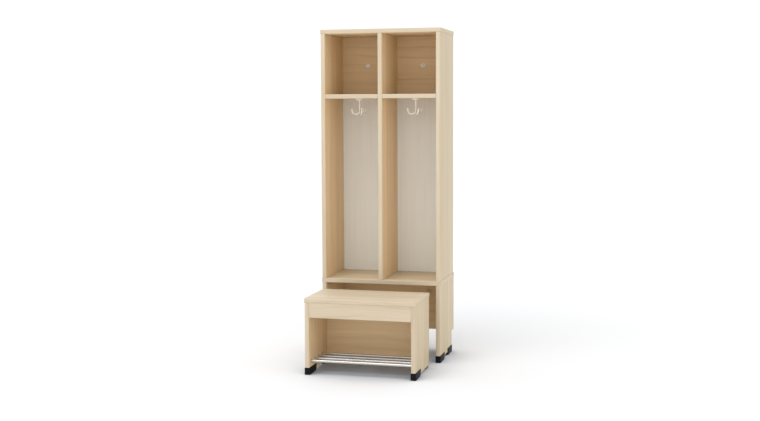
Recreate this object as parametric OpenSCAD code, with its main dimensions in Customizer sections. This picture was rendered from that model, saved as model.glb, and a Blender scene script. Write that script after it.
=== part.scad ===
// Two-place cloakroom locker: an open carcass with hat and coat compartments on a low base,
// and a separate bench with a shoe rack that slides into the base.
// Lengths are in millimetres. X runs across, Y from front to back, Z up from the floor.

/* [Carcass] */
// Width over the two side panels
carcass_w = 540; // [440:5:800]
// Overall height
cabinet_h = 1468; // [1200:1:1800]
// Depth of the carcass above the base
carcass_d = 298; // [240:1:420]
// Thickness of every board
board_t = 19; // [15:0.1:23]
// How far the top and floor boards stand past the side panels
slab_overhang = 2; // [1:0.5:8]
// Clear height of the hat compartments
hat_clear_h = 266; // [180:1:340]

/* [Back panels] */
// Thickness of the two panels behind the compartments
back_t = 8; // [6:1:10]
// How far they lie inside the rear edges
back_inset = 3; // [1:0.5:6]
// Width of the rebate that holds them in each side panel
rebate_w = 9.5; // [6:0.5:11]
// Gap at the edges of a back panel
back_gap = 0.3; // [0.1:0.1:1]

/* [Base] */
// Height of the floor board's top
base_h = 361; // [300:1:440]
// How far the base and the floor board reach past the carcass at the back
base_step = 14; // [0:1:40]
// Depth of the cut-out for a skirting board
skirting_d = 48; // [20:1:60]
// Height of that cut-out
skirting_h = 95; // [60:1:130]
// How far the base's back panel lies inside the rear edges
base_back_inset = 8; // [0:1:20]
// Height of the side panels above the floor, between the feet
base_floor_gap = 14; // [8:1:20]

/* [Feet] */
// Length of a corner foot
foot_l = 96; // [60:1:120]
// Height of a corner foot
foot_h = 30; // [24:1:32]
// How far a foot stands past the board's two faces
foot_lip = 2; // [0:0.5:4]
// Rounding of a foot's inner lower corner
foot_round_r = 20; // [4:1:22]
// Length of a bench glide
glide_l = 48; // [40:1:80]
// Width of a bench glide
glide_w = 10; // [9:0.5:14]
// Rounding of a glide's inner lower corner
glide_round_r = 5; // [2:1:7]
// Diameter of the pegs that hold feet and glides
peg_d = 8; // [6:1:9]
// Length of those pegs
peg_l = 14; // [8:1:14]

/* [Bench] */
// Gap between the seat's ends and the base's side panels
bench_side_gap = 10; // [6:1:20]
// Gap between the seat and the floor board above it
bench_top_gap = 16; // [6:1:30]
// Gap behind the bench when it is pushed in flush
bench_rear_gap = 19; // [5:1:40]
// Gap between the bench's back and the cabinet's front when it is pulled out
bench_stand_off = 85; // [20:1:150]
// How far the seat stands past the bench's side panels
seat_overhang = 2; // [1:0.5:8]
// Height of the front rail under the seat
apron_h = 63; // [40:1:90]
// Height of the bench's side panels above the floor, behind the feet
bench_floor_gap = 10; // [8:1:20]
// Height of the bench's back panel above the floor
bench_back_gap = 30; // [20:1:60]

/* [Shoe rack] */
// Diameter of a bar
bar_d = 12; // [8:1:14]
// Wall of a bar
bar_wall = 1.5; // [1:0.5:2.5]
// Height of the bars' axes
bar_z = 57; // [54:1:90]
// First bar's axis, from the bench's front
first_bar_y = 23; // [20:1:40]
// Distance from bar to bar
bar_pitch = 50; // [30:1:55]
// How deep each end is let into the side panel
bar_let_in = 8; // [5:1:12]

/* [Coat hooks] */
// Distance of the hooks' axes from the cabinet's front
hook_y = 140; // [100:1:180]
// Diameter of the ceiling plate
hook_plate_d = 42; // [34:1:60]
// Thickness of the ceiling plate
hook_plate_t = 7; // [6:0.5:10]
// Diameter of the stem
hook_stem_d = 8; // [7:0.5:9]
// Diameter of the stem's head, inside the plate
hook_head_d = 14; // [12:0.5:16]
// Diameter of a prong
prong_d = 7; // [5:0.5:7]
// Radius of a prong's bend
prong_bend_r = 18.5; // [14:0.5:24]
// Straight end of a prong above its bend
prong_rise = 4.5; // [2:0.5:12]
// Diameter of the ball at a prong's tip
prong_tip_d = 9; // [7.5:0.5:12]
// Number of prongs
prong_count = 3; // [2:1:4]
// From the shelf's underside to the lowest point of the hook
hook_drop = 73; // [60:1:110]

/* [Fasteners] */
// Diameter of the dowels
dowel_d = 8; // [6:1:10]
// Depth of a dowel in a board's edge
dowel_edge_depth = 18; // [12:1:24]
// Depth of a dowel in a board's face
dowel_face_depth = 12; // [8:1:13]
// Diameter of the countersunk screws
screw_d = 3.5; // [3:0.5:4]
// Diameter of their heads
screw_head_d = 7; // [6:0.5:8]
// Length of the screws
screw_l = 18; // [15:1:20]
// Hole for a wall screw
wall_hole_d = 6.4; // [5:0.1:8]
// Diameter of the washer around that hole
washer_d = 20; // [16:1:30]
// Thickness of that washer
washer_t = 1.5; // [1.2:0.1:2.5]

/* [Hidden] */
$fn = 64;

BOARD = "burlywood";
PALE = "gainsboro";
BLACK = "dimgray";
METAL = "silver";
CREAM = "ivory";
DOWEL = "peru";

fit_gap = 0.05;        // around dowels, pegs, screws and bar ends
running_gap = 0.1;     // around a hook's stem in its plate
head_gap = 0.3;        // around a hook's head in its plate
washer_proud = 0.5;    // of a washer above the back panel
dowel_end_gap = 1;     // at each end of a dowel
cut = 1;               // how far a cutting shape runs past a surface

// Across the cabinet
side_x = carcass_w / 2 - board_t / 2;
inner_x = carcass_w / 2 - board_t;
slab_x = carcass_w / 2 + slab_overhang;
bay_x = (inner_x + board_t / 2) / 2;
upright_x = [-side_x, 0, side_x];

// Up the cabinet
top_z = cabinet_h - board_t;
shelf_top_z = top_z - hat_clear_h;
shelf_z = shelf_top_z - board_t;
wall_hole_z = (shelf_top_z + top_z) / 2;
base_top_z = base_h - board_t;

// Into the cabinet
base_d = carcass_d + base_step;
back_y = carcass_d - back_inset - back_t;
base_back_y = base_d - base_back_inset - board_t;
skirting_y = base_d - skirting_d;
carcass_dowel_y = [40, carcass_d - 60];
base_dowel_y = [80, base_d - 100];
shelf_dowel_y = [50, carcass_d - 75];
shelf_dowel_shift = 20;

// The feet
foot_w = board_t + 2 * foot_lip;

// The bench
bench_w = 2 * (inner_x - bench_side_gap);
bench_h = base_top_z - bench_top_gap;
bench_d = base_back_y - bench_rear_gap;
seat_z = bench_h - board_t;
bench_outer_x = bench_w / 2 - seat_overhang;
bench_side_x = bench_outer_x - board_t / 2;
bench_inner_x = bench_outer_x - board_t;
bench_back_y = bench_d - board_t;
apron_z = seat_z - apron_h;

// The origin is on the floor, at the middle of the object with its bench pulled out
bench_travel = bench_d + bench_stand_off;
cabinet_y = (bench_travel - base_d) / 2;
bench_y = cabinet_y - bench_travel;

// The shoe rack
bar_count = 4;
bar_l = 2 * (bench_inner_x + bar_let_in);

// The hooks
stem_r = hook_stem_d / 2;
prong_r = prong_d / 2;
hook_head_t = 2.4;
hook_pocket_t = hook_head_t + 2 * head_gap;
plate_z = shelf_z - hook_plate_t;
bend_z = shelf_z - hook_drop + prong_bend_r + prong_r;
plate_screw_x = (hook_plate_d + hook_head_d) / 4 + 0.5;
screw_head_h = 2.2;

function spread(low, high, count) = [for (i = [0 : count - 1]) low + i * (high - low) / (count - 1)];

module in_cabinet() translate([0, cabinet_y, 0]) children();
module in_bench() translate([0, bench_y, 0]) children();
module block(low, high) translate(low) cube(high - low);

// ---- Dowels, each given by its lowest or leftmost end ----

module z_dowels(ends) {
    for (end = ends)
        translate(end) cylinder(d = dowel_d, h = dowel_edge_depth + dowel_face_depth);
}

module x_dowels(ends) {
    for (end = ends)
        translate(end) rotate([0, 90, 0])
            cylinder(d = dowel_d, h = dowel_edge_depth + dowel_face_depth);
}

module z_dowel_bores(ends) {
    for (end = ends)
        translate(end - [0, 0, dowel_end_gap])
            cylinder(d = dowel_d + 2 * fit_gap,
                     h = dowel_edge_depth + dowel_face_depth + 2 * dowel_end_gap);
}

module x_dowel_bores(ends) {
    for (end = ends)
        translate(end - [dowel_end_gap, 0, 0]) rotate([0, 90, 0])
            cylinder(d = dowel_d + 2 * fit_gap,
                     h = dowel_edge_depth + dowel_face_depth + 2 * dowel_end_gap);
}

top_dowel_ends = [for (x = upright_x, y = carcass_dowel_y) [x, y, top_z - dowel_edge_depth]];
floor_dowel_ends = [for (x = upright_x, y = carcass_dowel_y) [x, y, base_h - dowel_face_depth]];
base_top_dowel_ends = [for (x = [-side_x, side_x], y = base_dowel_y)
    [x, y, base_top_z - dowel_edge_depth]];

// A row of dowels along X where a board's edge meets a face at joint_x; face_side is -1
// where the face belongs to the board on the left
function x_joint(joint_x, face_side, y, z) =
    [joint_x - (face_side < 0 ? dowel_face_depth : dowel_edge_depth), y, z];

left_shelf_dowel_ends = [for (y = shelf_dowel_y) each [
    x_joint(-inner_x, -1, y, shelf_z + board_t / 2),
    x_joint(-board_t / 2, 1, y, shelf_z + board_t / 2)]];
right_shelf_dowel_ends = [for (y = shelf_dowel_y) each [
    x_joint(board_t / 2, -1, y + shelf_dowel_shift, shelf_z + board_t / 2),
    x_joint(inner_x, 1, y + shelf_dowel_shift, shelf_z + board_t / 2)]];

base_back_dowel_z = [skirting_h + 50, base_top_z - 50];
base_back_dowel_ends = [for (z = base_back_dowel_z) each [
    x_joint(-inner_x, -1, base_back_y + board_t / 2, z),
    x_joint(inner_x, 1, base_back_y + board_t / 2, z)]];

bench_back_dowel_z = [bench_back_gap + 60, seat_z - 60];
seat_dowel_ends = [for (x = [-bench_side_x, bench_side_x], y = [50, bench_d - 50])
    [x, y, seat_z - dowel_edge_depth]];
bench_rail_dowel_ends = concat(
    [for (z = [apron_z + 15, seat_z - 15]) each [
        x_joint(-bench_inner_x, -1, board_t / 2, z),
        x_joint(bench_inner_x, 1, board_t / 2, z)]],
    [for (z = bench_back_dowel_z) each [
        x_joint(-bench_inner_x, -1, bench_back_y + board_t / 2, z),
        x_joint(bench_inner_x, 1, bench_back_y + board_t / 2, z)]]);

// ---- Screws, with the head's flat face at z = 0 and the point upwards ----

module screw(gap = 0) {
    cylinder(d1 = screw_head_d + 2 * gap, d2 = screw_d + 2 * gap, h = screw_head_h);
    cylinder(d = screw_d + 2 * gap, h = screw_l + gap);
}

back_screw_x = [-inner_x - rebate_w / 2, 0, inner_x + rebate_w / 2];
hat_screw_z = spread(shelf_top_z + 35, top_z - 30, 2);
coat_screw_z = spread(base_h + 40, shelf_z - 40, 4);

module back_screws(rows, gap = 0) {
    for (x = back_screw_x, z = rows)
        translate([x, back_y + back_t, z]) rotate([90, 0, 0]) screw(gap);
}

module plate_screws(side, gap = 0) {
    for (dx = [-plate_screw_x, plate_screw_x])
        translate([side * bay_x + dx, hook_y, plate_z]) screw(gap);
}

// ---- Carcass ----

module top_panel() color(BOARD) in_cabinet() difference() {
    block([-slab_x, 0, top_z], [slab_x, carcass_d, cabinet_h]);
    z_dowel_bores(top_dowel_ends);
}

module side_panel(side) color(BOARD) in_cabinet() difference() {
    block([side * side_x - board_t / 2, 0, base_h], [side * side_x + board_t / 2, carcass_d, top_z]);
    // rebate for the back panels
    block([side * inner_x - (side > 0 ? cut : rebate_w), back_y, base_h - cut],
          [side * inner_x + (side > 0 ? rebate_w : cut), carcass_d + cut, top_z + cut]);
    z_dowel_bores(top_dowel_ends);
    z_dowel_bores(floor_dowel_ends);
    x_dowel_bores(side < 0 ? left_shelf_dowel_ends : right_shelf_dowel_ends);
    back_screws(hat_screw_z, fit_gap);
    back_screws(coat_screw_z, fit_gap);
}

module centre_partition() color(BOARD) in_cabinet() difference() {
    block([-board_t / 2, 0, base_h], [board_t / 2, back_y, top_z]);
    z_dowel_bores(top_dowel_ends);
    z_dowel_bores(floor_dowel_ends);
    x_dowel_bores(left_shelf_dowel_ends);
    x_dowel_bores(right_shelf_dowel_ends);
    back_screws(hat_screw_z, fit_gap);
    back_screws(coat_screw_z, fit_gap);
}

module hat_shelf(side) color(BOARD) in_cabinet() difference() {
    block([side < 0 ? -inner_x : board_t / 2, 0, shelf_z],
          [side < 0 ? -board_t / 2 : inner_x, back_y, shelf_top_z]);
    x_dowel_bores(side < 0 ? left_shelf_dowel_ends : right_shelf_dowel_ends);
    plate_screws(side, fit_gap);
}

module hat_back_panel() color(BOARD) in_cabinet() difference() {
    block([-inner_x - rebate_w + back_gap, back_y, shelf_z + board_t / 2],
          [inner_x + rebate_w - back_gap, back_y + back_t, top_z]);
    back_screws(hat_screw_z, fit_gap);
    // wall-fixing holes, each with a shallow seat for its washer
    for (side = [-1, 1])
        translate([side * bay_x, back_y - cut, wall_hole_z]) rotate([-90, 0, 0]) {
            cylinder(d = wall_hole_d, h = back_t + 2 * cut);
            cylinder(d = washer_d + 2 * fit_gap, h = cut + washer_t - washer_proud);
        }
}

module coat_back_panel() color(PALE) in_cabinet() difference() {
    block([-inner_x - rebate_w + back_gap, back_y, base_h],
          [inner_x + rebate_w - back_gap, back_y + back_t, shelf_z + board_t / 2 - back_gap]);
    back_screws(coat_screw_z, fit_gap);
}

module wall_washers() color(METAL) in_cabinet()
    for (side = [-1, 1])
        translate([side * bay_x, back_y - washer_proud, wall_hole_z]) rotate([-90, 0, 0])
            difference() {
                cylinder(d = washer_d, h = washer_t);
                translate([0, 0, -cut]) cylinder(d = wall_hole_d, h = washer_t + 2 * cut);
            }

module back_panel_screws() color(METAL) in_cabinet() {
    back_screws(hat_screw_z);
    back_screws(coat_screw_z);
}

module top_dowels() color(DOWEL) in_cabinet() z_dowels(top_dowel_ends);
module floor_dowels() color(DOWEL) in_cabinet() z_dowels(floor_dowel_ends);
module shelf_dowels() color(DOWEL) in_cabinet() {
    x_dowels(left_shelf_dowel_ends);
    x_dowels(right_shelf_dowel_ends);
}

// ---- Base ----

module floor_board() color(BOARD) in_cabinet() difference() {
    block([-slab_x, 0, base_top_z], [slab_x, base_d, base_h]);
    z_dowel_bores(floor_dowel_ends);
    z_dowel_bores(base_top_dowel_ends);
}

module base_side(side) color(BOARD) in_cabinet() difference() {
    block([side * side_x - board_t / 2, 0, base_floor_gap],
          [side * side_x + board_t / 2, base_d, base_top_z]);
    // notches for the two feet, and the skirting cut-out behind them
    block([side * side_x - board_t, -cut, 0], [side * side_x + board_t, foot_l, foot_h]);
    block([side * side_x - board_t, skirting_y - foot_l, 0], [side * side_x + board_t, base_d + cut, foot_h]);
    block([side * side_x - board_t, skirting_y, 0], [side * side_x + board_t, base_d + cut, skirting_h]);
    foot_pegs([side * side_x, 0, foot_h], foot_l, fit_gap);
    foot_pegs([side * side_x, skirting_y - foot_l, foot_h], foot_l, fit_gap);
    z_dowel_bores(base_top_dowel_ends);
    x_dowel_bores(base_back_dowel_ends);
}

module base_back_panel() color(BOARD) in_cabinet() difference() {
    block([-inner_x, base_back_y, skirting_h], [inner_x, base_back_y + board_t, base_top_z]);
    x_dowel_bores(base_back_dowel_ends);
}

module base_dowels() color(DOWEL) in_cabinet() {
    z_dowels(base_top_dowel_ends);
    x_dowels(base_back_dowel_ends);
}

// ---- Feet and glides: a block under the board, standing on the floor, whose inner lower
// corner is round, with two pegs in the board above it. A foot is a little thicker than the
// board, and a glide narrower ----

module foot_pegs(corner, length, gap = 0) {
    end_gap = gap > 0 ? dowel_end_gap : 0;
    for (y = [length / 4, length * 3 / 4])
        translate(corner + [0, y, -cut]) cylinder(d = peg_d + 2 * gap, h = peg_l + cut + end_gap);
}

// The round corner is at the far end, at y = length
module foot(length, height, width, round_r) {
    rotate([90, 0, 90]) translate([0, 0, -width / 2]) linear_extrude(width) difference() {
        square([length, height]);
        translate([length - round_r, 0]) difference() {
            translate([0, -cut]) square([round_r + cut, round_r + cut]);
            translate([0, round_r]) circle(r = round_r);
        }
    }
    foot_pegs([0, 0, height], length);
}

// A foot whose round corner faces the front
module rear_foot(length, height, width, round_r)
    translate([0, length, 0]) mirror([0, 1, 0]) foot(length, height, width, round_r);

module base_front_foot(side) color(BLACK) in_cabinet()
    translate([side * side_x, 0, 0]) foot(foot_l, foot_h, foot_w, foot_round_r);

module base_rear_foot(side) color(BLACK) in_cabinet()
    translate([side * side_x, skirting_y - foot_l, 0]) rear_foot(foot_l, foot_h, foot_w, foot_round_r);

// ---- Coat hooks ----

module hook_plate(side) color(CREAM) in_cabinet() difference() {
    translate([side * bay_x, hook_y, plate_z]) difference() {
        union() {
            cylinder(d1 = hook_plate_d - 2, d2 = hook_plate_d, h = 1);
            translate([0, 0, 1]) cylinder(d = hook_plate_d, h = hook_plate_t - 1);
        }
        translate([0, 0, -cut]) cylinder(d = hook_stem_d + 2 * running_gap, h = hook_plate_t + 2 * cut);
        translate([0, 0, hook_plate_t - hook_pocket_t])
            cylinder(d = hook_head_d + 2 * head_gap, h = hook_pocket_t + cut);
    }
    plate_screws(side, fit_gap);
}

module hook_plate_screws() color(METAL) in_cabinet() {
    plate_screws(-1);
    plate_screws(1);
}

// The first prong points to the left, and the others follow at equal angles
module hook(side) color(CREAM) in_cabinet() translate([side * bay_x, hook_y, 0]) {
    translate([0, 0, shelf_z - head_gap - hook_head_t]) cylinder(d = hook_head_d, h = hook_head_t);
    translate([0, 0, bend_z - stem_r]) cylinder(r = stem_r, h = shelf_z - head_gap - bend_z + stem_r);
    translate([0, 0, bend_z - stem_r]) sphere(r = stem_r);
    for (i = [0 : prong_count - 1]) rotate([0, 0, 180 + i * 360 / prong_count]) prong();
}

module prong() {
    translate([prong_bend_r, 0, bend_z]) rotate([-90, 0, 0]) rotate_extrude(angle = 180)
        translate([prong_bend_r, 0]) circle(r = prong_r);
    translate([2 * prong_bend_r, 0, bend_z]) {
        cylinder(r = prong_r, h = prong_rise);
        translate([0, 0, prong_rise]) sphere(d = prong_tip_d);
    }
}

// ---- Bench ----

module bench_seat() color(BOARD) in_bench() difference() {
    block([-bench_w / 2, 0, seat_z], [bench_w / 2, bench_d, bench_h]);
    z_dowel_bores(seat_dowel_ends);
}

module bench_side(side) color(BOARD) in_bench() difference() {
    block([side * bench_side_x - board_t / 2, 0, bench_floor_gap],
          [side * bench_side_x + board_t / 2, bench_d, seat_z]);
    block([side * bench_side_x - board_t, -cut, 0], [side * bench_side_x + board_t, foot_l, foot_h]);
    foot_pegs([side * bench_side_x, 0, foot_h], foot_l, fit_gap);
    foot_pegs([side * bench_side_x, bench_d - glide_l, bench_floor_gap], glide_l, fit_gap);
    for (i = [0 : bar_count - 1])
        translate([side * bench_inner_x - bar_let_in, first_bar_y + i * bar_pitch, bar_z])
            rotate([0, 90, 0]) cylinder(d = bar_d + 2 * fit_gap, h = 2 * bar_let_in);
    z_dowel_bores(seat_dowel_ends);
    x_dowel_bores(bench_rail_dowel_ends);
}

module bench_apron() color(BOARD) in_bench() difference() {
    block([-bench_inner_x, 0, apron_z], [bench_inner_x, board_t, seat_z]);
    x_dowel_bores(bench_rail_dowel_ends);
}

module bench_back_panel() color(BOARD) in_bench() difference() {
    block([-bench_inner_x, bench_back_y, bench_back_gap], [bench_inner_x, bench_d, seat_z]);
    x_dowel_bores(bench_rail_dowel_ends);
}

module bench_dowels() color(DOWEL) in_bench() {
    z_dowels(seat_dowel_ends);
    x_dowels(bench_rail_dowel_ends);
}

// Bar number i, counted from the front
module shoe_bar(i) color(METAL) in_bench()
    translate([-bar_l / 2, first_bar_y + (i - 1) * bar_pitch, bar_z]) rotate([0, 90, 0]) difference() {
        cylinder(d = bar_d, h = bar_l);
        translate([0, 0, -cut]) cylinder(d = bar_d - 2 * bar_wall, h = bar_l + 2 * cut);
    }

module bench_foot(side) color(BLACK) in_bench()
    translate([side * bench_side_x, 0, 0]) foot(foot_l, foot_h, foot_w, foot_round_r);

module bench_glide(side) color(BLACK) in_bench()
    translate([side * bench_side_x, bench_d - glide_l, 0])
        rear_foot(glide_l, bench_floor_gap, glide_w, glide_round_r);

top_panel();
side_panel(-1);  // left_side_panel
side_panel(1);  // right_side_panel
centre_partition();
hat_shelf(-1);  // left_hat_shelf
hat_shelf(1);  // right_hat_shelf
hat_back_panel();
coat_back_panel();
floor_board();
base_side(-1);  // base_left_side
base_side(1);  // base_right_side
base_back_panel();
base_front_foot(-1);  // base_front_left_foot
base_front_foot(1);  // base_front_right_foot
base_rear_foot(-1);  // base_rear_left_foot
base_rear_foot(1);  // base_rear_right_foot
hook_plate(-1);  // left_hook_plate
hook_plate(1);  // right_hook_plate
hook(-1);  // left_hook
hook(1);  // right_hook
hook_plate_screws();
wall_washers();
back_panel_screws();
top_dowels();
shelf_dowels();
floor_dowels();
base_dowels();
bench_seat();
bench_side(-1);  // bench_left_side
bench_side(1);  // bench_right_side
bench_apron();
bench_back_panel();
shoe_bar(1);  // shoe_bar_1
shoe_bar(2);  // shoe_bar_2
shoe_bar(3);  // shoe_bar_3
shoe_bar(4);  // shoe_bar_4
bench_foot(-1);  // bench_left_foot
bench_foot(1);  // bench_right_foot
bench_glide(-1);  // bench_left_glide
bench_glide(1);  // bench_right_glide
bench_dowels();
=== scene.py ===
# A two-place cloakroom locker in light maple board: an open carcass with hat and coat
# compartments on a low base, and a bench with a shoe rack that slides into the base.
import math
import random

import bmesh
import bpy
from mathutils import Matrix, Vector


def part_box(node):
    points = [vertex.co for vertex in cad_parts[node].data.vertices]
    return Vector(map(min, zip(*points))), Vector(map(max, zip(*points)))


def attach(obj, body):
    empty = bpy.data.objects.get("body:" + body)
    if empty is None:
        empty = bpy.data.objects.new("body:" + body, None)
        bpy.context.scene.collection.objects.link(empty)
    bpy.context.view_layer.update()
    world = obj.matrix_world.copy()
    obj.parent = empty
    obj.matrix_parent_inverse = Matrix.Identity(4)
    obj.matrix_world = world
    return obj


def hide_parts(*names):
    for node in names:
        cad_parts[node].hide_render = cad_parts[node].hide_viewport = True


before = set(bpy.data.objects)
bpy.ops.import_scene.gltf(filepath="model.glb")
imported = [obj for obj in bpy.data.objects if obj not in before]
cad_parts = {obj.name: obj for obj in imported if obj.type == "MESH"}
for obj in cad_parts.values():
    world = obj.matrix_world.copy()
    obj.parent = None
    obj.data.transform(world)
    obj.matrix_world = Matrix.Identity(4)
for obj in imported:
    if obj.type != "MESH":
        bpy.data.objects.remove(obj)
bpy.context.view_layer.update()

# ---- Studio: a white floor under an even white sky, with one large soft lamp overhead, a
# little ahead. The camera stands to the right of the locker at a standing adult's chest height
# and looks a little down, with its lens shifted slightly so that the uprights hardly converge.

CAMERA_PLACE = Vector((1.2845, -4.9079, 1.1275))
CAMERA_TURN = math.radians(14.617)
CAMERA_TILT = math.radians(-4.473)
CAMERA_ROLL = math.radians(-0.226)
CAMERA_LENS = 54.804
CAMERA_SHIFT = -0.0175
SKY_STRENGTH = 1.06

camera = bpy.data.objects.new("camera", bpy.data.cameras.new("camera"))
bpy.context.scene.collection.objects.link(camera)
camera.data.sensor_width = 36.0
camera.data.lens = CAMERA_LENS
camera.data.shift_y = CAMERA_SHIFT
camera.data.clip_end = 60.0
camera.matrix_world = (Matrix.Translation(CAMERA_PLACE)
                       @ Matrix.Rotation(CAMERA_TURN, 4, "Z")
                       @ Matrix.Rotation(math.pi / 2 + CAMERA_TILT, 4, "X")
                       @ Matrix.Rotation(CAMERA_ROLL, 4, "Z"))
bpy.context.scene.camera = camera
bpy.context.scene.view_settings.view_transform = "Standard"

world = bpy.data.worlds.new("white_sky")
world.use_nodes = True
world.node_tree.nodes["Background"].inputs["Color"].default_value = (1.0, 1.0, 1.0, 1.0)
world.node_tree.nodes["Background"].inputs["Strength"].default_value = SKY_STRENGTH
bpy.context.scene.world = world


def soft_lamp(name, place, aim, size, watts):
    """A square lamp at place, facing aim."""
    lamp = bpy.data.objects.new(name, bpy.data.lights.new(name, "AREA"))
    bpy.context.scene.collection.objects.link(lamp)
    lamp.data.shape = "SQUARE"
    lamp.data.size = size
    lamp.data.energy = watts
    away = Vector(place) - Vector(aim)
    lamp.matrix_world = Matrix.Translation(place) @ away.to_track_quat("Z", "Y").to_matrix().to_4x4()


soft_lamp("key_lamp", place=(-0.6, -1.6, 5.0), aim=(0.0, 0.0, 0.7), size=2.6, watts=84.0)

FLOOR_REACH = 14.0
floor_mesh = bpy.data.meshes.new("studio_floor")
floor_mesh.from_pydata([(x * FLOOR_REACH, y * FLOOR_REACH, 0.0)
                        for x, y in ((-1, -1), (1, -1), (1, 1), (-1, 1))], [], [(0, 1, 2, 3)])
studio_floor = bpy.data.objects.new("studio_floor", floor_mesh)
bpy.context.scene.collection.objects.link(studio_floor)


class Wire:
    """A shader node's output. Arithmetic on it adds the Math nodes that it needs."""

    def __init__(self, finish, output):
        self.finish = finish
        self.output = output

    def math(self, operation, first, second):
        return self.finish.node("ShaderNodeMath", {"operation": operation}, {0: first, 1: second})

    def __add__(self, other):
        return self.math("ADD", self, other)

    def __radd__(self, other):
        return self.math("ADD", other, self)

    def __sub__(self, other):
        return self.math("SUBTRACT", self, other)

    def __rsub__(self, other):
        return self.math("SUBTRACT", other, self)

    def __mul__(self, other):
        return self.math("MULTIPLY", self, other)

    def __rmul__(self, other):
        return self.math("MULTIPLY", other, self)


class Finish:
    """A surface finish: a material whose nodes are added one by one."""

    def __init__(self, name):
        self.material = bpy.data.materials.new(name)
        self.material.use_nodes = True
        self.nodes = self.material.node_tree.nodes
        self.links = self.material.node_tree.links
        self.shader = self.nodes["Principled BSDF"]

    def feed(self, node, key, value):
        socket = node.inputs[key]
        if isinstance(value, Wire):
            self.links.new(value.output, socket)
        else:
            socket.default_value = value

    def node(self, kind, settings, sockets, output=0):
        """A node of that kind, with its settings made before its sockets are fed."""
        made = self.nodes.new(kind)
        for key, value in settings.items():
            setattr(made, key, value)
        for key, value in sockets.items():
            self.feed(made, key, value)
        return Wire(self, made.outputs[output])

    def place(self):
        """A point's place on the piece, in metres."""
        return self.node("ShaderNodeTexCoord", {}, {}, "Object")

    def noise(self, place, cells, detail=2.0, roughness=0.5):
        """Noise from 0 to 1, with that many cells to a metre along each axis."""
        stretched = self.node("ShaderNodeVectorMath", {"operation": "MULTIPLY"}, {0: place, 1: cells})
        return self.node("ShaderNodeTexNoise", {"noise_dimensions": "3D"},
                         {"Vector": stretched, "Scale": 1.0, "Detail": detail, "Roughness": roughness})

    def ramp(self, value, low, high):
        """0 below low, 1 above high, and a smooth rise between."""
        return self.node("ShaderNodeMapRange", {"interpolation_type": "SMOOTHSTEP"},
                         {"Value": value, "From Min": low, "From Max": high})

    def tint(self, share, first, second):
        """The first colour where share is 0, and the second where it is 1."""
        return self.node("ShaderNodeMix", {"data_type": "RGBA"}, {0: share, 6: first, 7: second}, 2)

    def relief(self, height, depth):
        """A normal for a surface whose height, from 0 to 1, stands for that many metres."""
        return self.node("ShaderNodeBump", {}, {"Height": height, "Strength": 1.0, "Distance": depth})

    def surface(self, sockets):
        for key, value in sockets.items():
            self.feed(self.shader, key, value)
        return self.material


def floor_with_painted_shade():
    """A matt white studio floor with a hardly visible mottle. Camera and glossy rays see painted
    shade on it: greyer near the middle, and a bluish grey painted shadow where things stand close over
    it. The light it throws back stays white."""
    finish = Finish("studio_white_painted_shade")
    place = finish.place()
    mottle = finish.noise(place, (0.8, 0.8, 0.8))
    white = finish.tint(mottle, (0.955, 0.955, 0.955, 1), (0.97, 0.97, 0.97, 1))
    reach = finish.node("ShaderNodeVectorMath", {"operation": "LENGTH"}, {0: place}, "Value")
    seen = (finish.node("ShaderNodeLightPath", {}, {}, "Is Camera Ray")
            + finish.node("ShaderNodeLightPath", {}, {}, "Is Glossy Ray"))
    # Painted shade: camera and glossy rays see the floor greyer near the middle, fading out from 0.9 to
    # 4 m.
    white_with_painted_near_shade = finish.tint(seen * (1 - finish.ramp(reach, 0.9, 4.0)), white, (0.795, 0.800, 0.812, 1))
    # Painted shadow: where things stand within 0.4 m over the floor, camera and glossy rays see it
    # bluish grey.
    open_sky = finish.node("ShaderNodeAmbientOcclusion", {"samples": 12}, {"Distance": 0.40}, "AO")
    return finish.surface({
        "Base Color": finish.tint(seen * (1 - finish.ramp(open_sky, 0.0, 0.9)), white_with_painted_near_shade,
                                  (0.335, 0.405, 0.505, 1)),
        "Roughness": 0.9,
        "Specular IOR Level": 0.1})


studio_floor.data.materials.append(floor_with_painted_shade())

# ---- Maple board: 19 mm chipboard with a printed maple decor on both faces. The visible
# edges carry a 2 mm plastic band in the same decor, rounded over for its whole thickness. The
# grain runs along each board. Faces that look down or sideways into the compartments, the base
# and the bench carry a warmer, brighter copy of the decor: painted warm bounce light. Upward and
# outer faces keep the plainer copy.

BAND_ROUND = 0.002
PLAIN_ROUND = 0.0009
SHARP_ANGLE = math.radians(35)
GRAIN_MAP = "grain"


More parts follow.
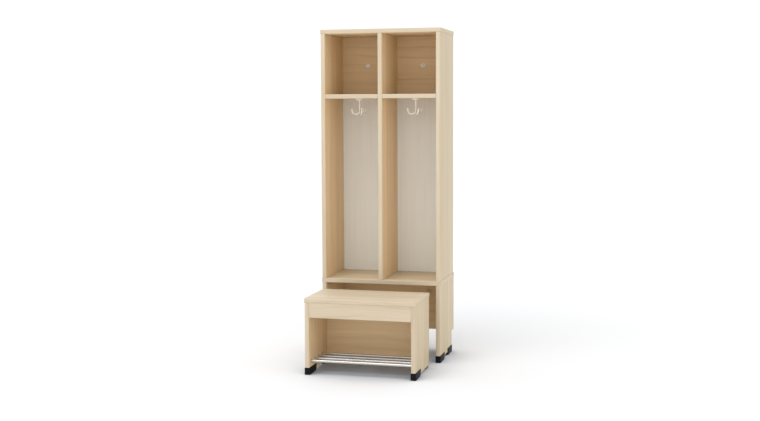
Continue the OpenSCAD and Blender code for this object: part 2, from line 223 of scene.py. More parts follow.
def maple(name, pale, warm, dark):
    """The printed decor: long tonal bands, fine fibres, short flecks and a rare small knot."""
    finish = Finish(name)
    place = finish.node("ShaderNodeUVMap", {"uv_map": GRAIN_MAP}, {})
    drift = finish.noise(place, (1.1, 3.2, 1.0))
    waved = finish.node("ShaderNodeVectorMath", {"operation": "ADD"}, {
        0: place, 1: finish.node("ShaderNodeCombineXYZ", {}, {"Y": (drift - 0.5) * 0.09})})
    bands = finish.noise(waved, (0.8, 26.0, 1.0), detail=3.0, roughness=0.55)
    rings = finish.node("ShaderNodeTexWave", {"wave_type": "BANDS", "bands_direction": "Y",
                                              "wave_profile": "SAW"},
                        {"Vector": waved, "Scale": 7.5, "Distortion": 3.0, "Detail": 2.0,
                         "Detail Scale": 0.7})
    fibres = finish.noise(waved, (9.0, 900.0, 1.0))
    pores = finish.ramp(finish.noise(place, (70.0, 1100.0, 1.0), detail=1.0), 0.66, 0.76)
    cloud = finish.noise(place, (5.0, 9.0, 1.0))
    streaks = finish.ramp(finish.noise(waved, (1.6, 75.0, 1.0)), 0.56, 0.74)
    knot_cells = finish.node("ShaderNodeTexVoronoi", {"feature": "F1"}, {
        "Vector": finish.node("ShaderNodeVectorMath", {"operation": "MULTIPLY"},
                              {0: waved, 1: (2.1, 4.3, 1.0)}),
        "Scale": 1.0})
    knots = 1 - finish.ramp(knot_cells, 0.015, 0.05)
    tone = finish.ramp(bands, 0.3, 0.72) * 0.6 + finish.ramp(rings, 0.55, 1.0) * 0.26 + cloud * 0.2
    lines = finish.ramp(fibres, 0.45, 0.8) * 0.18 + streaks * 0.25 + pores * 0.14 + knots * 0.4
    return finish.surface({
        "Base Color": finish.tint(lines, finish.tint(tone, pale, warm), dark),
        "Roughness": 0.4 + fibres * 0.1 - pores * 0.05,
        "Specular IOR Level": 0.35,
        "Normal": finish.relief(fibres * 0.6 + pores * 0.4, 0.00006)})


maple_outer = maple("maple_outer_face", pale=(0.614, 0.515, 0.349, 1), warm=(0.494, 0.388, 0.245, 1),
                    dark=(0.40, 0.28, 0.17, 1))
# A warmer, brighter copy of the decor for faces that look into the compartments, the base and the
# bench: painted warm bounce light.
maple_painted_bounce = maple("maple_painted_bounce_face", pale=(0.805, 0.618, 0.382, 1), warm=(0.700, 0.505, 0.285, 1),
                    dark=(0.38, 0.24, 0.12, 1))
maple_band = maple("maple_edge_band", pale=(0.640, 0.550, 0.413, 1), warm=(0.526, 0.427, 0.301, 1),
                   dark=(0.45, 0.31, 0.18, 1))


def lay_grain(mesh, name, grain, size):
    """A UV map in metres on each face: u along the grain, v across it, with a start of its own
    for each board and side. On a face that the grain runs into, u follows the longer side."""
    layer = mesh.uv_layers.new(name=GRAIN_MAP)
    starts = random.Random(name)
    start = [(starts.uniform(0, 40), starts.uniform(0, 40)) for side in range(3)]
    for face in mesh.polygons:
        across = max(range(3), key=lambda axis: abs(face.normal[axis]))
        plane = [axis for axis in range(3) if axis != across]
        along = grain if grain in plane else max(plane, key=lambda axis: size[axis])
        other = plane[0] if plane[1] == along else plane[1]
        for loop in face.loop_indices:
            spot = mesh.vertices[mesh.loops[loop].vertex_index].co
            layer.data[loop].uv = (spot[along] + start[across][0], spot[other] + start[across][1])


def outline_solid(outline, axis, low, high):
    """A mesh under construction: a closed outline, drawn in the two other axes in their order,
    drawn out along axis from low to high."""
    def spot(point, height):
        place = list(point)
        place.insert(axis, height)
        return place
    shape = bmesh.new()
    bottom = [shape.verts.new(spot(point, low)) for point in outline]
    top = [shape.verts.new(spot(point, high)) for point in outline]
    shape.faces.new(bottom)
    shape.faces.new(top)
    for i in range(len(outline)):
        j = (i + 1) % len(outline)
        shape.faces.new((bottom[i], bottom[j], top[j], top[i]))
    bmesh.ops.recalc_face_normals(shape, faces=shape.faces)
    return shape


def round_edges(shape, edges, radius, steps):
    bmesh.ops.bevel(shape, geom=edges, offset=radius, offset_type="OFFSET", segments=steps,
                    profile=0.5, affect="EDGES", clamp_overlap=True)


def sharp_edges(shape):
    return [edge for edge in shape.edges
            if edge.is_convex and edge.calc_face_angle(0) > SHARP_ANGLE]


def place_piece(name, mesh, body, nodes):
    """A piece that rides on a body and stands for CAD nodes."""
    piece = bpy.data.objects.new(name + "_piece", mesh)
    bpy.context.scene.collection.objects.link(piece)
    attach(piece, body)
    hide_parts(*nodes)
    return piece


def finished_mesh(name, shape, materials):
    """Ends a mesh under construction, with faces outwards and smooth where they curve."""
    bmesh.ops.recalc_face_normals(shape, faces=shape.faces)
    mesh = bpy.data.meshes.new(name)
    shape.to_mesh(mesh)
    shape.free()
    for material in materials:
        mesh.materials.append(material)
    mesh.shade_smooth()
    mesh.set_sharp_from_angle(angle=SHARP_ANGLE)
    return mesh


def board(node, body, grain, banded, outline=None, axis=None, faces=(maple_outer, maple_painted_bounce),
          band=maple_band, end_band=maple_outer):
    """A board in the CAD node's place. The grain runs along axis 0, 1 or 2. Banded names the
    sides that have an edge band, such as "-y". Faces are the finishes of the two broad faces,
    the one towards the lower values of their axis first, and end_band that of the edges that
    look sideways. An outline in the plane across axis gives a board with notches, and the CAD
    box a plain one."""
    low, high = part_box(node)
    size = high - low
    thin = min(range(3), key=lambda i: size[i])
    if outline is None:
        axis = thin
        plane = [i for i in range(3) if i != axis]
        outline = [(low[plane[0]], low[plane[1]]), (high[plane[0]], low[plane[1]]),
                   (high[plane[0]], high[plane[1]]), (low[plane[0]], high[plane[1]])]
    shape = outline_solid(outline, axis, low[axis], high[axis])

    def has_band(face):
        side = max(range(3), key=lambda i: abs(face.normal[i]))
        return ("+" if face.normal[side] > 0 else "-") + "xyz"[side] in banded

    def is_broad(face):
        return abs(face.normal[thin]) > 0.999
    soft = [edge for edge in sharp_edges(shape)
            if all(is_broad(face) or has_band(face) for face in edge.link_faces)]
    if soft:
        round_edges(shape, soft, BAND_ROUND, 4)
    round_edges(shape, sharp_edges(shape), PLAIN_ROUND, 1)
    for face in shape.faces:
        face.material_index = 3 if abs(face.normal.x) > 0.7 else 2
        if is_broad(face):
            face.material_index = 0 if face.normal[thin] < 0 else 1
    mesh = finished_mesh(node, shape, [*faces, band, end_band])
    lay_grain(mesh, node, grain, size)
    return place_piece(node, mesh, body, [node])


# ---- Carcass: two uprights and a partition between the top board and the floor board, and a
# hat shelf in each half, all glued on hidden dowels. A rebate down the back of each upright
# holds the thin back panels.

ALONG_X, ALONG_Z = 0, 2
ALL_ROUND = ("-x", "+x", "-y", "+y")
# The inner faces of the uprights take the copy with painted bounce light.
SIDE_FACES = {"left": (maple_outer, maple_painted_bounce), "right": (maple_painted_bounce, maple_outer)}
REBATE_GAP = 0.0003
back_low, back_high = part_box("hat_back_panel")

board("top_panel", "cabinet", ALONG_X, ALL_ROUND, faces=(maple_painted_bounce, maple_outer))
board("floor_board", "cabinet", ALONG_X, ALL_ROUND, faces=(maple_painted_bounce, maple_outer))
board("centre_partition", "cabinet", ALONG_Z, ("-y",), faces=(maple_painted_bounce, maple_painted_bounce))
for side in ("left", "right"):
    board(f"{side}_hat_shelf", "cabinet", ALONG_X, ("-y",), faces=(maple_painted_bounce, maple_outer))

for side in ("left", "right"):
    low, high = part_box(f"{side}_side_panel")
    outer, inner = (low.x, high.x) if side == "left" else (high.x, low.x)
    rebate = back_low.x - REBATE_GAP if side == "left" else back_high.x + REBATE_GAP
    board(f"{side}_side_panel", "cabinet", ALONG_Z, ("-y", "+y"), axis=ALONG_Z, faces=SIDE_FACES[side],
          outline=[(outer, low.y), (inner, low.y), (inner, back_low.y),
                   (rebate, back_low.y), (rebate, high.y), (outer, high.y)])

# ---- Back panels: 8 mm board let into the rebates and screwed from behind. The one behind
# the hats has the maple decor, and two holes for wall screws. The tall one behind the coats
# has a pale, faintly brushed coating.


def pale_coating(name, pale, shaded, wear_and_edge_highlight, speck):
    finish = Finish(name)
    place = finish.place()
    cloud = finish.noise(place, (2.2, 2.2, 1.3))
    brushed = finish.noise(place, (170.0, 170.0, 2.5))
    speckle = finish.noise(place, (420.0, 420.0, 420.0))
    base = finish.tint(cloud, pale, shaded)
    rubbed = finish.tint(finish.ramp(brushed, 0.35, 0.7) * 0.28, base, wear_and_edge_highlight)
    return finish.surface({
        "Base Color": finish.tint(finish.ramp(speckle, 0.5, 0.8) * 0.2, rubbed, speck),
        "Roughness": 0.42 + speckle * 0.12,
        "Specular IOR Level": 0.35,
        "Normal": finish.relief(brushed * 0.5 + speckle * 0.5, 0.00005)})


pale_panel = pale_coating(
    "pale_coating", pale=(0.875, 0.892, 0.873, 1), shaded=(0.845, 0.858, 0.835, 1),
    wear_and_edge_highlight=(0.76, 0.75, 0.71, 1), speck=(0.66, 0.65, 0.60, 1))
# A darker copy of the coating for the coat back panel's rear face and edges: painted shade, so that its
# back does not wash out.
pale_reverse_painted_shade = pale_coating(
    "pale_reverse_painted_shade", pale=(0.64, 0.63, 0.60, 1), shaded=(0.59, 0.58, 0.55, 1),
    wear_and_edge_highlight=(0.53, 0.52, 0.49, 1), speck=(0.46, 0.45, 0.42, 1))
hat_back = board("hat_back_panel", "cabinet", ALONG_X, (), faces=(maple_painted_bounce, maple_outer))
board("coat_back_panel", "cabinet", ALONG_Z, (), faces=(pale_panel, pale_reverse_painted_shade), band=pale_reverse_painted_shade,
      end_band=pale_reverse_painted_shade)

WALL_HOLE_RADIUS = 0.0032
WASHER_RADIUS = 0.010
WASHER_THICKNESS = 0.0015
WASHER_SOFTENING = 0.0004
SEAT_CLEARANCE = 0.00005
HOLE_FACETS = 48


def drum(shape, centre, radius, start, end):
    """A closed drum along Y from start to end."""
    middle = Matrix.Translation((centre.x, (start + end) / 2, centre.z))
    turned = middle @ Matrix.Rotation(math.pi / 2, 4, "X")
    bmesh.ops.create_cone(shape, cap_ends=True, segments=HOLE_FACETS, radius1=radius, radius2=radius,
                          depth=end - start, matrix=turned)


def cut_away(piece, shape):
    """Cuts a mesh under construction out of a piece, for good."""
    cutter = bpy.data.objects.new("cutter", finished_mesh("cutter", shape, []))
    bpy.context.scene.collection.objects.link(cutter)
    modifier = piece.modifiers.new("cut", "BOOLEAN")
    modifier.object = cutter
    modifier.operation = "DIFFERENCE"
    modifier.solver = "EXACT"
    bpy.context.view_layer.update()
    cut = bpy.data.meshes.new_from_object(piece.evaluated_get(bpy.context.evaluated_depsgraph_get()))
    piece.modifiers.remove(modifier)
    cut.shade_smooth()
    cut.set_sharp_from_angle(angle=SHARP_ANGLE)
    piece.data = cut
    bpy.data.objects.remove(cutter)


washer_low, washer_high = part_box("wall_washers")
washer_middles = [Vector((x, washer_high.y, (washer_low.z + washer_high.z) / 2))
                  for x in (washer_low.x + WASHER_RADIUS, washer_high.x - WASHER_RADIUS)]
seats = bmesh.new()
for middle in washer_middles:
    drum(seats, middle, WASHER_RADIUS + SEAT_CLEARANCE, back_low.y - 0.002, washer_high.y)
    drum(seats, middle, WALL_HOLE_RADIUS, washer_high.y - 0.001, back_high.y + 0.002)
cut_away(hat_back, seats)

# ---- Washers and screws: flat zinc-plated washers round the two wall holes, and rows of
# countersunk cross-recess screws that hold the back panels in their rebates and on the
# partition. All the screws of one kind are one piece.


def zinc(name, bright, dull):
    finish = Finish(name)
    place = finish.place()
    spangle = finish.node("ShaderNodeTexVoronoi", {"feature": "F1"}, {"Vector": place, "Scale": 900.0})
    stain = finish.noise(place, (120.0, 120.0, 120.0), detail=3.0)
    return finish.surface({
        "Base Color": finish.tint(finish.ramp(stain, 0.35, 0.7), bright, dull),
        "Metallic": 1.0,
        "Roughness": 0.42 + stain * 0.14,
        "Normal": finish.relief(spangle, 0.00002)})


zinc_steel = zinc("zinc_steel", bright=(0.60, 0.61, 0.62, 1), dull=(0.48, 0.485, 0.49, 1))
dull_zinc = zinc("dull_zinc", bright=(0.64, 0.63, 0.59, 1), dull=(0.52, 0.51, 0.48, 1))


def node_tree(name, sizes):
    """An empty geometry node tree whose inputs are sizes: a name and its socket's kind each."""
    tree = bpy.data.node_groups.new(name, "GeometryNodeTree")
    for size, kind in sizes:
        tree.interface.new_socket(size, in_out="INPUT", socket_type="NodeSocket" + kind)
    tree.interface.new_socket("Geometry", in_out="OUTPUT", socket_type="NodeSocketGeometry")
    return tree, tree.nodes.new("NodeGroupInput").outputs, tree.nodes.new("NodeGroupOutput").inputs


def grow(tree, kind, settings, sockets, output=0):
    """Adds a node and returns its output. A socket takes a value or another node's output."""
    made = tree.nodes.new(kind)
    for key, value in settings.items():
        setattr(made, key, value)
    for key, value in sockets.items():
        if isinstance(value, bpy.types.NodeSocket):
            tree.links.new(value, made.inputs[key])
        else:
            made.inputs[key].default_value = value
    return made.outputs[output]


def add_up(tree, first, second, operation="ADD"):
    return grow(tree, "ShaderNodeMath", {"operation": operation}, {0: first, 1: second})


def end_tree(tree, placed, material, result):
    """Ends a tree: its instances become one real mesh, with the material set."""
    whole = grow(tree, "GeometryNodeRealizeInstances", {}, {"Geometry": placed})
    finished = grow(tree, "GeometryNodeSetMaterial", {}, {"Geometry": whole, "Material": material})
    tree.links.new(finished, result[0])
    return tree


def grown_mesh(name, seed, tree, values):
    """Runs a node tree on a mesh, and returns the result as a plain mesh."""
    holder = bpy.data.objects.new(name, seed)
    bpy.context.scene.collection.objects.link(holder)
    modifier = holder.modifiers.new(tree.name, "NODES")
    modifier.node_group = tree
    for socket in tree.interface.items_tree:
        if socket.name in values:
            modifier[socket.identifier] = values[socket.name]
    bpy.context.view_layer.update()
    grown = bpy.data.meshes.new_from_object(holder.evaluated_get(bpy.context.evaluated_depsgraph_get()))
    holder.modifiers.remove(modifier)
    bpy.data.objects.remove(holder)
    grown.name = name
    grown.shade_smooth()
    grown.set_sharp_from_angle(angle=SHARP_ANGLE)
    return grown


def points_mesh(name, points):
    mesh = bpy.data.meshes.new(name)
    mesh.from_pydata([tuple(point) for point in points], [], [])
    return mesh


def washer_tree():
    """A flat ring round each point, with softened edges, in the plane across Y."""
    tree, given, result = node_tree("washers", [
        ("Points", "Geometry"), ("Radius", "Float"), ("Hole Radius", "Float"), ("Thickness", "Float"),
        ("Softening", "Float"), ("Material", "Material")])
    width = add_up(tree, given["Radius"], given["Hole Radius"], "SUBTRACT")
    middle = add_up(tree, add_up(tree, given["Radius"], given["Hole Radius"]), 0.5, "MULTIPLY")
    ring = grow(tree, "GeometryNodeCurvePrimitiveCircle", {}, {"Resolution": 64, "Radius": middle})
    flat = grow(tree, "GeometryNodeCurvePrimitiveQuadrilateral", {}, {
        "Width": width, "Height": given["Thickness"]})
    soft = grow(tree, "GeometryNodeFilletCurve", {"mode": "POLY"}, {
        "Curve": flat, "Radius": given["Softening"], "Count": 3})
    washer = grow(tree, "GeometryNodeCurveToMesh", {}, {"Curve": ring, "Profile Curve": soft})
    standing = grow(tree, "GeometryNodeTransform", {}, {
        "Geometry": washer, "Rotation": (math.pi / 2, 0.0, 0.0)})
    placed = grow(tree, "GeometryNodeInstanceOnPoints", {}, {
        "Points": given["Points"], "Instance": standing})
    return end_tree(tree, placed, given["Material"], result)


washer_mesh = grown_mesh(
    "wall_washers",
    points_mesh("washer_middles",
                [middle - Vector((0, WASHER_THICKNESS / 2, 0)) for middle in washer_middles]),
    washer_tree(), {
        "Radius": WASHER_RADIUS,
        "Hole Radius": WALL_HOLE_RADIUS,
        "Thickness": WASHER_THICKNESS,
        "Softening": WASHER_SOFTENING,
        "Material": dull_zinc})
place_piece("wall_washers", washer_mesh, "cabinet", ["wall_washers"])

SCREW_HEAD_RADIUS = 0.0035
SCREW_SHANK_RADIUS = 0.00175
SCREW_POINT_RADIUS = 0.0002
SCREW_HEAD_HEIGHT = 0.0022
SCREW_LENGTH = 0.018
SCREW_PROUD = 0.00012
RECESS_LENGTH = 0.0040
RECESS_WIDTH = 0.0009
RECESS_DEPTH = 0.0014


def screw_tree():
    """A countersunk cross-recess screw at each point. Its head looks along -Z before the turn,
    and each one's recess is turned by a chance amount."""
    tree, given, result = node_tree("screws", [
        ("Points", "Geometry"), ("Head Radius", "Float"), ("Shank Radius", "Float"),
        ("Head Height", "Float"), ("Length", "Float"), ("Recess Length", "Float"),
        ("Recess Width", "Float"), ("Recess Depth", "Float"), ("Turn", "Rotation"),
        ("Seed", "Int"), ("Material", "Material")])
    head = grow(tree, "GeometryNodeMeshCone", {}, {
        "Vertices": 32, "Radius Bottom": given["Head Radius"], "Radius Top": given["Shank Radius"],
        "Depth": given["Head Height"]})
    shank = grow(tree, "GeometryNodeMeshCone", {}, {
        "Vertices": 16, "Radius Bottom": given["Shank Radius"], "Radius Top": SCREW_POINT_RADIUS,
        "Depth": given["Length"]})
    recess_span = grow(tree, "ShaderNodeCombineXYZ", {}, {
        "X": given["Recess Length"], "Y": given["Recess Width"],
        "Z": add_up(tree, given["Recess Depth"], 2.0, "MULTIPLY")})
    slot = grow(tree, "GeometryNodeMeshCube", {}, {"Size": recess_span})
    crossed = grow(tree, "GeometryNodeTransform", {}, {
        "Geometry": slot, "Rotation": (0.0, 0.0, math.pi / 2)})
    cut = tree.nodes.new("GeometryNodeMeshBoolean")
    cut.operation = "DIFFERENCE"
    cut.solver = "EXACT"
    tree.links.new(head, cut.inputs["Mesh 1"])
    tree.links.new(crossed, cut.inputs["Mesh 2"])
    tree.links.new(slot, cut.inputs["Mesh 2"])
    screw = tree.nodes.new("GeometryNodeJoinGeometry")
    tree.links.new(shank, screw.inputs[0])
    tree.links.new(cut.outputs[0], screw.inputs[0])
    chance = grow(tree, "FunctionNodeRandomValue", {"data_type": "FLOAT"}, {
        "Min": 0.0, "Max": math.pi / 2, "Seed": given["Seed"]}, 1)
    twist = grow(tree, "FunctionNodeEulerToRotation", {}, {
        0: grow(tree, "ShaderNodeCombineXYZ", {}, {"Z": chance})})
    turned = grow(tree, "FunctionNodeRotateRotation", {"rotation_space": "LOCAL"}, {
        0: given["Turn"], 1: twist})
    placed = grow(tree, "GeometryNodeInstanceOnPoints", {}, {
        "Points": given["Points"], "Instance": screw.outputs[0], "Rotation": turned})
    return end_tree(tree, placed, given["Material"], result)


screws = screw_tree()


def set_screws(node, points, turn, seed):
    """Screws whose heads stand at points, in place of the CAD node."""
    mesh = grown_mesh(node, points_mesh(node + "_points", points), screws, {
        "Head Radius": SCREW_HEAD_RADIUS,
        "Shank Radius": SCREW_SHANK_RADIUS,
        "Head Height": SCREW_HEAD_HEIGHT,
        "Length": SCREW_LENGTH,
        "Recess Length": RECESS_LENGTH,
        "Recess Width": RECESS_WIDTH,
        "Recess Depth": RECESS_DEPTH,
        "Turn": turn,
        "Seed": seed,
        "Material": zinc_steel})
    place_piece(node, mesh, "cabinet", [node])


ABOVE_HAT_SHELF = 0.035
BELOW_TOP = 0.030
COAT_PANEL_MARGIN = 0.040
COAT_PANEL_ROWS = 4

screw_low, screw_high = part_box("back_panel_screws")
first_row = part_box("floor_board")[1].z + COAT_PANEL_MARGIN
last_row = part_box("left_hat_shelf")[0].z - COAT_PANEL_MARGIN
screw_rows = [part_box("left_hat_shelf")[1].z + ABOVE_HAT_SHELF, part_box("top_panel")[0].z - BELOW_TOP]
screw_rows += [first_row + i * (last_row - first_row) / (COAT_PANEL_ROWS - 1)
               for i in range(COAT_PANEL_ROWS)]
screw_columns = (screw_low.x + SCREW_HEAD_RADIUS, 0.0, screw_high.x - SCREW_HEAD_RADIUS)
set_screws("back_panel_screws",
           [(x, screw_high.y + SCREW_PROUD, z) for x in screw_columns for z in screw_rows],
           turn=(math.pi / 2, 0.0, 0.0), seed=3)

# ---- Base: two notched sides and a back panel under the floor board. Each side is cut out
# for the feet at its lower corners and for the room's skirting board behind them.

FOOT_LENGTH = 0.096
FOOT_HEIGHT = 0.030
base_back_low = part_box("base_back_panel")[0]

board("base_back_panel", "cabinet", ALONG_X, ("-z",), faces=(maple_painted_bounce, maple_outer))
for side in ("left", "right"):
    low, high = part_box(f"base_{side}_side")
    rear_foot_low, rear_foot_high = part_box(f"base_rear_{side}_foot")
    board(f"base_{side}_side", "cabinet", ALONG_Z, ("-y", "+y", "-z"), axis=ALONG_X,
          faces=SIDE_FACES[side],
          outline=[
              (low.y + FOOT_LENGTH, low.z), (rear_foot_low.y, low.z), (rear_foot_low.y, FOOT_HEIGHT),
              (rear_foot_high.y, FOOT_HEIGHT), (rear_foot_high.y, base_back_low.z),
              (high.y, base_back_low.z), (high.y, high.z), (low.y, high.z), (low.y, FOOT_HEIGHT),
              (low.y + FOOT_LENGTH, FOOT_HEIGHT)])

# ---- Bench: a seat on two sides, with a rail under its front and a full back panel, all of
# the same board. It stands on its own feet and slides into the base.

board("bench_seat", "bench", ALONG_X, ALL_ROUND, faces=(maple_painted_bounce, maple_band))
board("bench_apron", "bench", ALONG_X, ("-z",), faces=(maple_band, maple_painted_bounce))
board("bench_back_panel", "bench", ALONG_X, ("-z",), faces=(maple_painted_bounce, maple_outer))
for side in ("left", "right"):
    low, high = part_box(f"bench_{side}_side")
    board(f"bench_{side}_side", "bench", ALONG_Z, ("-y", "+y", "-z"), axis=ALONG_X,
          faces=SIDE_FACES[side],
          outline=[
              (low.y + FOOT_LENGTH, low.z), (high.y, low.z), (high.y, high.z), (low.y, high.z),
              (low.y, FOOT_HEIGHT), (low.y + FOOT_LENGTH, FOOT_HEIGHT)])

# ---- Feet and glides: black moulded plastic. Each foot fills the notch at a lower corner and
# stands a little past the board, and its inner lower corner is well rounded so that it rides
# over a mat's edge. The narrow glides lie under the bench's rear corners.

FOOT_ROUND = 0.020
GLIDE_HEIGHT = 0.010
GLIDE_ROUND = 0.005
MOULD_ROUND = 0.0012
ARC_STEPS = 14


def moulded_plastic():
    finish = Finish("black_plastic")
    place = finish.place()
    grain = finish.node("ShaderNodeTexVoronoi", {"feature": "SMOOTH_F1"},
                        {"Vector": place, "Scale": 1500.0, "Smoothness": 0.6})
    patches = finish.noise(place, (60.0, 25.0, 160.0), detail=3.0, roughness=0.65)
    scuffs = finish.ramp(patches, 0.55, 0.8)
    return finish.surface({
        "Base Color": finish.tint(scuffs * 0.35, (0.0075, 0.0082, 0.0080, 1), (0.022, 0.022, 0.021, 1)),
        "Roughness": 0.42 + grain * 0.15 + scuffs * 0.12,
        "Specular IOR Level": 0.1,
        "Normal": finish.relief(grain, 0.00005)})


black_plastic = moulded_plastic()


def foot(node, body, height, radius, faces_front):
    """A foot in the CAD node's place, whose round corner looks to the front or to the back."""
    low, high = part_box(node)
    arc = [(high.y - radius + radius * math.sin(turn), radius - radius * math.cos(turn))
           for turn in (math.pi / 2 * i / ARC_STEPS for i in range(ARC_STEPS + 1))]
    outline = [(low.y, 0.0)] + arc + [(high.y, height), (low.y, height)]
    if faces_front:
        outline = [(low.y + high.y - y, z) for y, z in reversed(outline)]
    shape = outline_solid(outline, 0, low.x, high.x)
    round_edges(shape, sharp_edges(shape), MOULD_ROUND, 3)
    place_piece(node, finished_mesh(node, shape, [black_plastic]), body, [node])


for side in ("left", "right"):
    foot(f"base_front_{side}_foot", "cabinet", FOOT_HEIGHT, FOOT_ROUND, faces_front=False)
    foot(f"base_rear_{side}_foot", "cabinet", FOOT_HEIGHT, FOOT_ROUND, faces_front=True)
    foot(f"bench_{side}_foot", "bench", FOOT_HEIGHT, FOOT_ROUND, faces_front=False)
    foot(f"bench_{side}_glide", "bench", GLIDE_HEIGHT, GLIDE_ROUND, faces_front=True)

# ---- Shoe rack: four bright aluminium tubes across the bench, their ends let into blind
# holes in its sides. Drawing the tube leaves fine lines along it.

BAR_WALL = 0.0015
BAR_FACETS = 64


def drawn_aluminium():
    finish = Finish("bright_aluminium")
    place = finish.place()
    lines = finish.noise(place, (3.0, 2600.0, 2600.0))
    smears = finish.noise(place, (14.0, 90.0, 90.0))
    return finish.surface({
        "Base Color": finish.tint(lines, (0.505, 0.495, 0.470, 1), (0.76, 0.74, 0.705, 1)),
        "Metallic": 1.0,
        "Roughness": 0.15 + lines * 0.04 + smears * 0.04,
        "Normal": finish.relief(lines, 0.000005)})


def bar_tree():
    """Round tubes along X, side by side along Y: each is a strip of wall swept round a ring."""
    tree, given, result = node_tree("round_bars", [
        ("Count", "Int"), ("Pitch", "Float"), ("Middle Radius", "Float"), ("Wall", "Float"),
        ("Length", "Float"), ("First Axis", "Vector"), ("Facets", "Int"), ("Material", "Material")])
    ring = grow(tree, "GeometryNodeCurvePrimitiveCircle", {}, {
        "Resolution": given["Facets"], "Radius": given["Middle Radius"]})
    strip = grow(tree, "GeometryNodeCurvePrimitiveQuadrilateral", {}, {
        "Width": given["Wall"], "Height": given["Length"]})
    tube = grow(tree, "GeometryNodeCurveToMesh", {}, {"Curve": ring, "Profile Curve": strip})
    lying = grow(tree, "GeometryNodeTransform", {}, {
        "Geometry": tube, "Rotation": (0.0, math.pi / 2, 0.0)})
    row = grow(tree, "GeometryNodeMeshLine", {}, {
        "Count": given["Count"], "Start Location": given["First Axis"],
        "Offset": grow(tree, "ShaderNodeCombineXYZ", {}, {"Y": given["Pitch"]})})
    placed = grow(tree, "GeometryNodeInstanceOnPoints", {}, {"Points": row, "Instance": lying})
    return end_tree(tree, placed, given["Material"], result)


bar_nodes = sorted(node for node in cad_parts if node.startswith("shoe_bar_"))
bar_low, bar_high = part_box(bar_nodes[0])
bar_axes = [(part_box(node)[0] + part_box(node)[1]) / 2 for node in bar_nodes]
bar_mesh = grown_mesh("shoe_bars", bpy.data.meshes.new("shoe_bar_seed"), bar_tree(), {
    "Count": len(bar_nodes),
    "Pitch": bar_axes[1].y - bar_axes[0].y,
    "Middle Radius": (bar_high.z - bar_low.z) / 2 - BAR_WALL / 2,
    "Wall": BAR_WALL,
    "Length": bar_high.x - bar_low.x,
    "First Axis": tuple(bar_axes[0]),
    "Facets": BAR_FACETS,
    "Material": drawn_aluminium()})
place_piece("shoe_bars", bar_mesh, "bench", bar_nodes)

# ---- Swivel hooks: a cast hook of three prongs with ball tips on a stem that turns in a
# round ceiling plate, all in cream enamel. Two screws hold each plate under its hat shelf.

PLATE_THICKNESS = 0.007
PLATE_EDGE_ROUND = 0.0028
PLATE_EDGE_STEPS = 8
STEM_RADIUS = 0.004
STEM_BORE = 0.0041
BORE_BEVEL = 0.0006
HEAD_GAP = 0.0004
RIM_DRAFT = 0.0002
PLATE_SCREW_REACH = 0.0145
BEND_RADIUS = 0.0185
PRONG_RADIUS = 0.0035
PRONG_TIP_RADIUS = 0.0045
PRONG_RISE = 0.0045
PRONG_TURNS = (math.pi, -math.pi / 3, math.pi / 3)
PRONG_WAIST = 0.06
BEND_STEPS = 40
STEM_STEPS = 24
RISE_STEPS = 4
STEM_DROP_SHARE = 0.62
STEM_TIP_SHARE = 0.7
CAST_VOXEL = 0.00055
LATHE_STEPS = 72


def cream_enamel():
    finish = Finish("cream_enamel")
    place = finish.place()
    peel = finish.noise(place, (650.0, 650.0, 650.0))
    tone = finish.noise(place, (45.0, 45.0, 45.0))
    # Convex edges are tinted paler: a painted highlight.
    wear_and_edge_highlight = finish.ramp(finish.node("ShaderNodeNewGeometry", {}, {}, "Pointiness"), 0.53, 0.6)
    base = finish.tint(tone, (0.95, 0.94, 0.90, 1), (0.92, 0.905, 0.86, 1))
    return finish.surface({
        "Base Color": finish.tint(wear_and_edge_highlight * 0.3, base, (0.97, 0.965, 0.95, 1)),
        "Roughness": 0.22 + peel * 0.12,
        "Coat Weight": 0.6 + tone * 0.2,
        "Specular IOR Level": 0.5,
        "Normal": finish.relief(peel, 0.00003)})


enamel = cream_enamel()


def lathe(profile):
    """A closed profile of radius and height, turned round the Z axis."""
    shape = bmesh.new()
    rings = []
    for step in range(LATHE_STEPS):
        turn = 2 * math.pi * step / LATHE_STEPS
        rings.append([shape.verts.new((radius * math.cos(turn), radius * math.sin(turn), height))
                      for radius, height in profile])
    for step, ring in enumerate(rings):
        following = rings[(step + 1) % LATHE_STEPS]
        for i in range(len(profile)):
            j = (i + 1) % len(profile)
            shape.faces.new((ring[i], following[i], following[j], ring[j]))
    return shape


def add_rod(shape, path, radii, across, sides=24):
    """A closed rod through the points of path. Across is a direction square to all of it."""
    rings = []
    for i, point in enumerate(path):
        ahead = path[min(i + 1, len(path) - 1)] - path[max(i - 1, 0)]
        out = across.cross(ahead.normalized())
        ways = [across * math.cos(turn) + out * math.sin(turn)
                for turn in (2 * math.pi * k / sides for k in range(sides))]
        rings.append([shape.verts.new(point + radii[i] * way) for way in ways])
    for ring, following in zip(rings, rings[1:]):
        for k in range(sides):
            j = (k + 1) % sides
            shape.faces.new((ring[k], ring[j], following[j], following[k]))
    shape.faces.new(rings[0])
    shape.faces.new(rings[-1])


def cast_mesh(name, shape, material):
    """Melts overlapping parts into one skin, with small fillets where they meet."""
    bmesh.ops.recalc_face_normals(shape, faces=shape.faces)
    rough = bpy.data.meshes.new(name + "_rough")
    shape.to_mesh(rough)
    shape.free()
    holder = bpy.data.objects.new(name + "_rough", rough)
    bpy.context.scene.collection.objects.link(holder)
    skin = holder.modifiers.new("skin", "REMESH")
    skin.mode = "VOXEL"
    skin.voxel_size = CAST_VOXEL
    relax = holder.modifiers.new("relax", "SMOOTH")
    relax.factor = 0.5
    relax.iterations = 8
    bpy.context.view_layer.update()
    cast = bpy.data.meshes.new_from_object(holder.evaluated_get(bpy.context.evaluated_depsgraph_get()))
    bpy.data.objects.remove(holder)
    cast.materials.clear()
    cast.materials.append(material)
    cast.shade_smooth()
    return cast


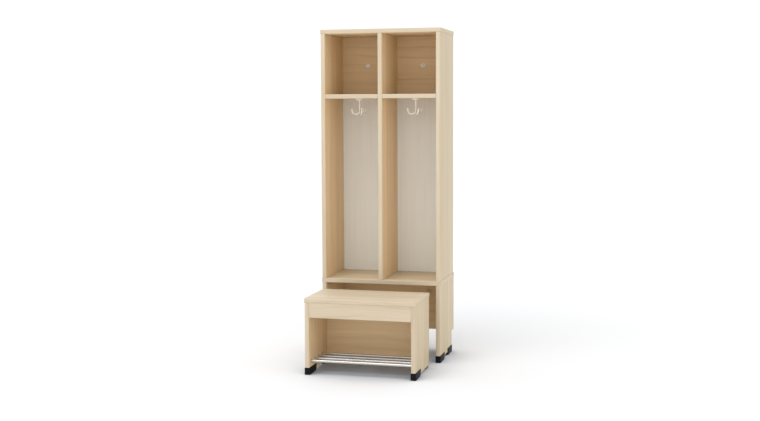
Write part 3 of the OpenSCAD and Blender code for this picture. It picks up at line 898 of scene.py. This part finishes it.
def hook_shape(bend_height, top):
    """The hook round the Z axis: the stem from the middle of the bends up to top, and prongs."""
    shape = bmesh.new()
    foot_height = bend_height - BEND_RADIUS * STEM_DROP_SHARE
    heights = [foot_height + (top - foot_height) * i / STEM_STEPS for i in range(STEM_STEPS + 1)]
    add_rod(shape, [Vector((0, 0, height)) for height in heights],
            [STEM_RADIUS * STEM_TIP_SHARE] + [STEM_RADIUS] * STEM_STEPS, Vector((1, 0, 0)), 32)
    for turn in PRONG_TURNS:
        ahead = Vector((math.cos(turn), math.sin(turn), 0))
        path = []
        radii = []
        for i in range(BEND_STEPS + 1):
            sweep = math.pi * (1 + i / BEND_STEPS)
            path.append(ahead * BEND_RADIUS * (1 + math.cos(sweep))
                        + Vector((0, 0, bend_height + BEND_RADIUS * math.sin(sweep))))
            radii.append(PRONG_RADIUS * (1.0 - PRONG_WAIST * math.sin(math.pi * i / BEND_STEPS)))
        for i in range(1, RISE_STEPS + 1):
            rise = PRONG_RISE * i / RISE_STEPS
            path.append(ahead * 2 * BEND_RADIUS + Vector((0, 0, bend_height + rise)))
            radii.append(PRONG_RADIUS)
        add_rod(shape, path, radii, Vector((-math.sin(turn), math.cos(turn), 0)))
        bmesh.ops.create_icosphere(shape, subdivisions=4, radius=PRONG_TIP_RADIUS,
                                   matrix=Matrix.Translation(path[-1]))
    return shape


def plate_profile(radius):
    """The ceiling plate's section: flat on top, softly rounded below, with a bore for the stem."""
    corner = [(radius - PLATE_EDGE_ROUND + PLATE_EDGE_ROUND * math.sin(turn),
               PLATE_EDGE_ROUND - PLATE_EDGE_ROUND * math.cos(turn))
              for turn in (math.pi / 2 * i / PLATE_EDGE_STEPS for i in range(PLATE_EDGE_STEPS + 1))]
    bore = [(STEM_BORE, PLATE_THICKNESS), (STEM_BORE, BORE_BEVEL), (STEM_BORE + BORE_BEVEL, 0.0)]
    return bore + corner + [(radius - RIM_DRAFT, PLATE_THICKNESS)]


plate_screw_points = []
for side in ("left", "right"):
    plate_low, plate_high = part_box(f"{side}_hook_plate")
    axis = (plate_low + plate_high) / 2
    plate = lathe(plate_profile((plate_high.x - plate_low.x) / 2))
    bmesh.ops.translate(plate, verts=plate.verts, vec=(axis.x, axis.y, plate_low.z))
    place_piece(f"{side}_hook_plate", finished_mesh(f"{side}_hook_plate", plate, [enamel]), "cabinet",
                [f"{side}_hook_plate"])
    hook_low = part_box(f"{side}_hook")[0]
    hook = hook_shape(hook_low.z + PRONG_RADIUS + BEND_RADIUS, plate_high.z - HEAD_GAP)
    bmesh.ops.translate(hook, verts=hook.verts, vec=(axis.x, axis.y, 0.0))
    place_piece(f"{side}_hook", cast_mesh(f"{side}_hook", hook, enamel), f"{side}_hook",
                [f"{side}_hook"])
    plate_screw_points += [(axis.x + reach, axis.y, plate_low.z - SCREW_PROUD)
                           for reach in (-PLATE_SCREW_REACH, PLATE_SCREW_REACH)]
set_screws("hook_plate_screws", plate_screw_points, turn=(0.0, 0.0, 0.0), seed=5)

# ---- Dowels: beech pins inside the joints, hidden once the boards are glued together. They
# keep their plain turned shape, with the beech's own colour and flecks.


def beech():
    finish = Finish("dowel_beech")
    place = finish.place()
    fibres = finish.noise(place, (500.0, 500.0, 60.0))
    flecks = finish.ramp(finish.noise(place, (900.0, 900.0, 220.0), detail=1.0), 0.62, 0.72)
    base = finish.tint(fibres, (0.70, 0.50, 0.33, 1), (0.58, 0.38, 0.23, 1))
    return finish.surface({
        "Base Color": finish.tint(flecks * 0.5, base, (0.36, 0.20, 0.11, 1)),
        "Roughness": 0.6 + fibres * 0.15,
        "Normal": finish.relief(fibres, 0.00006)})


dowel_wood = beech()
for name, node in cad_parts.items():
    if name.endswith("_dowels"):
        for holder in node.material_slots:
            holder.material = dowel_wood
